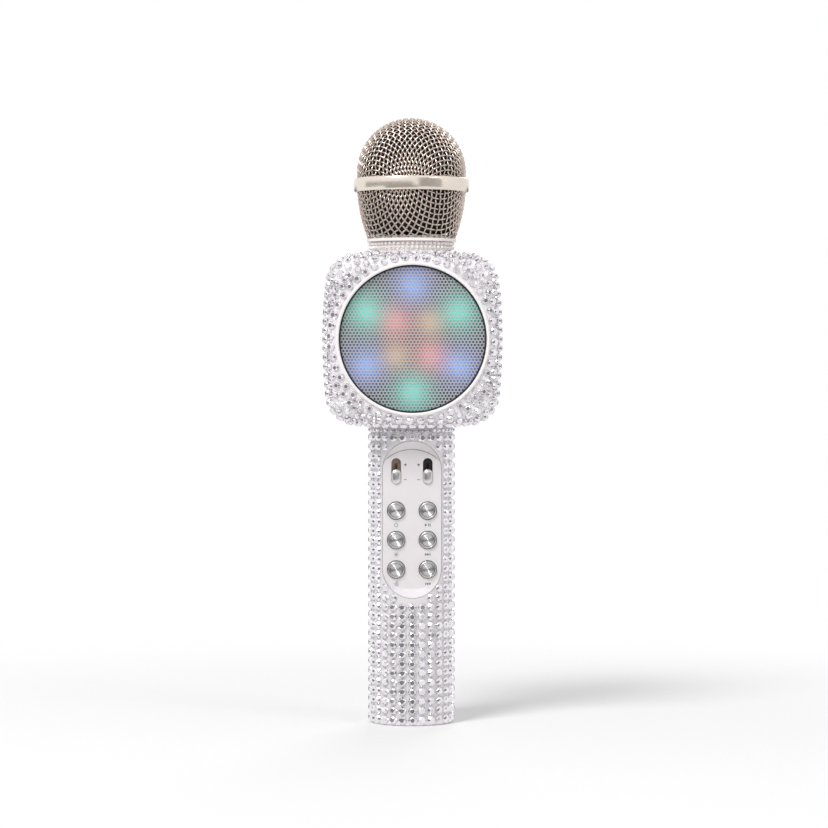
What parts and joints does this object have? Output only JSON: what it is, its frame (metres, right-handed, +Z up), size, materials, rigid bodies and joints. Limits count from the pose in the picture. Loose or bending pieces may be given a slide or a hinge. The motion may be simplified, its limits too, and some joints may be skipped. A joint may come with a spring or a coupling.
{
  "type": "toy microphone",
  "caption": "Hand-held toy karaoke microphone with a wire head, a stone-covered speaker box with a lit round grille, and a handle with push buttons and volume sliders.",
  "frame": {"origin": "centre of the flat end of the handle, where it stands", "axes": "+Z up the handle to the wire head, front with the speaker and the buttons towards -Y"},
  "size_m": [0.076, 0.058, 0.2581],
  "materials": {
    "white_plastic": "gloss white",
    "bezel": "gloss pearl white",
    "stones": "clear faceted stones on silver foil",
    "circuit_board": "green solder mask",
    "dark_plastic": "black moulded",
    "tin_plate": "tin plate",
    "screw_steel": "plated",
    "light_pipe": "milky",
    "spun_metal": "spun in circles, polished rim",
    "slider_metal": "plated",
    "tan_plastic": "phenolic board",
    "cell_wrap": "shrink wrap",
    "contact_brass": "plated",
    "black_rubber": "matt",
    "grille_metal": "silver paint",
    "diffuser": "milky",
    "lamp": "moulded lens",
    "magnet": "plated ferrite",
    "cone_paper": "black paper",
    "wire": "pale champagne nickel",
    "band_metal": "polished champagne nickel",
    "foam": "open-cell foam",
    "lead_grey": "screened lead",
    "lead_red": "wire insulation",
    "lead_black": "wire insulation"
  },
  "bodies": {
    "microphone": {"end_cap": "white_plastic", "handle_tube": "white_plastic", "control_panel": "white_plastic", "front_shell": "white_plastic", "rear_shell": "white_plastic", "neck_collar": "white_plastic", "bezel_ring": "bezel", "head_base_ring": "bezel", "handle_stones": "stones", "front_stones": "stones", "rear_stones": "stones", "neck_stones": "stones", "port_board": "circuit_board", "main_board": "circuit_board", "lamp_board": "circuit_board", "audio_jack": "dark_plastic", "button_switches": "dark_plastic", "music_slide_pot": "dark_plastic", "battery_cradle": "dark_plastic", "speaker_frame": "dark_plastic", "charge_socket": "tin_plate", "card_reader": "tin_plate", "microphone_capsule": "tin_plate", "board_screws": "screw_steel", "shell_screws": "screw_steel", "speaker_screws": "screw_steel", "charge_light_pipe": "light_pipe", "voice_slide_pot": "tan_plastic", "battery_cell": "cell_wrap", "battery_contacts": "contact_brass", "grille_gasket": "black_rubber", "capsule_cradle": "black_rubber", "speaker_grille": "grille_metal", "light_diffuser": "diffuser", "lamps": "lamp", "speaker_magnet": "magnet", "speaker_cone": "cone_paper", "wire_cup": "wire", "wire_dome": "wire", "head_band": "band_metal", "windscreen_foam": "foam", "microphone_lead": "lead_grey", "speaker_lead": "lead_red", "battery_lead": "lead_black"},
    "power_key": {"power_button": "spun_metal"},
    "play_key": {"play_button": "spun_metal"},
    "light_key": {"light_button": "spun_metal"},
    "next_key": {"next_button": "spun_metal"},
    "echo_key": {"echo_button": "spun_metal"},
    "previous_key": {"previous_button": "spun_metal"},
    "voice_fader": {"voice_slider": "slider_metal"},
    "music_fader": {"music_slider": "slider_metal"}
  },
  "joints": [
    {"name": "power_press", "type": "slide", "parent": "microphone", "child": "power_key", "axis": [0, 1, 0], "range_m": [0, 0.0006], "stiffness_N_per_m": 2000, "springref_m": -0.0004},
    {"name": "play_press", "type": "slide", "parent": "microphone", "child": "play_key", "axis": [0, 1, 0], "range_m": [0, 0.0006], "stiffness_N_per_m": 2000, "springref_m": -0.0004},
    {"name": "light_press", "type": "slide", "parent": "microphone", "child": "light_key", "axis": [0, 1, 0], "range_m": [0, 0.0006], "stiffness_N_per_m": 2000, "springref_m": -0.0004},
    {"name": "next_press", "type": "slide", "parent": "microphone", "child": "next_key", "axis": [0, 1, 0], "range_m": [0, 0.0006], "stiffness_N_per_m": 2000, "springref_m": -0.0004},
    {"name": "echo_press", "type": "slide", "parent": "microphone", "child": "echo_key", "axis": [0, 1, 0], "range_m": [0, 0.0006], "stiffness_N_per_m": 2000, "springref_m": -0.0004},
    {"name": "previous_press", "type": "slide", "parent": "microphone", "child": "previous_key", "axis": [0, 1, 0], "range_m": [0, 0.0006], "stiffness_N_per_m": 2000, "springref_m": -0.0004},
    {"name": "voice_slide", "type": "slide", "parent": "microphone", "child": "voice_fader", "axis": [0, 0, 1], "range_m": [0, 0.0045]},
    {"name": "music_slide", "type": "slide", "parent": "microphone", "child": "music_fader", "axis": [0, 0, 1], "range_m": [0, 0.0045]}
  ]
}
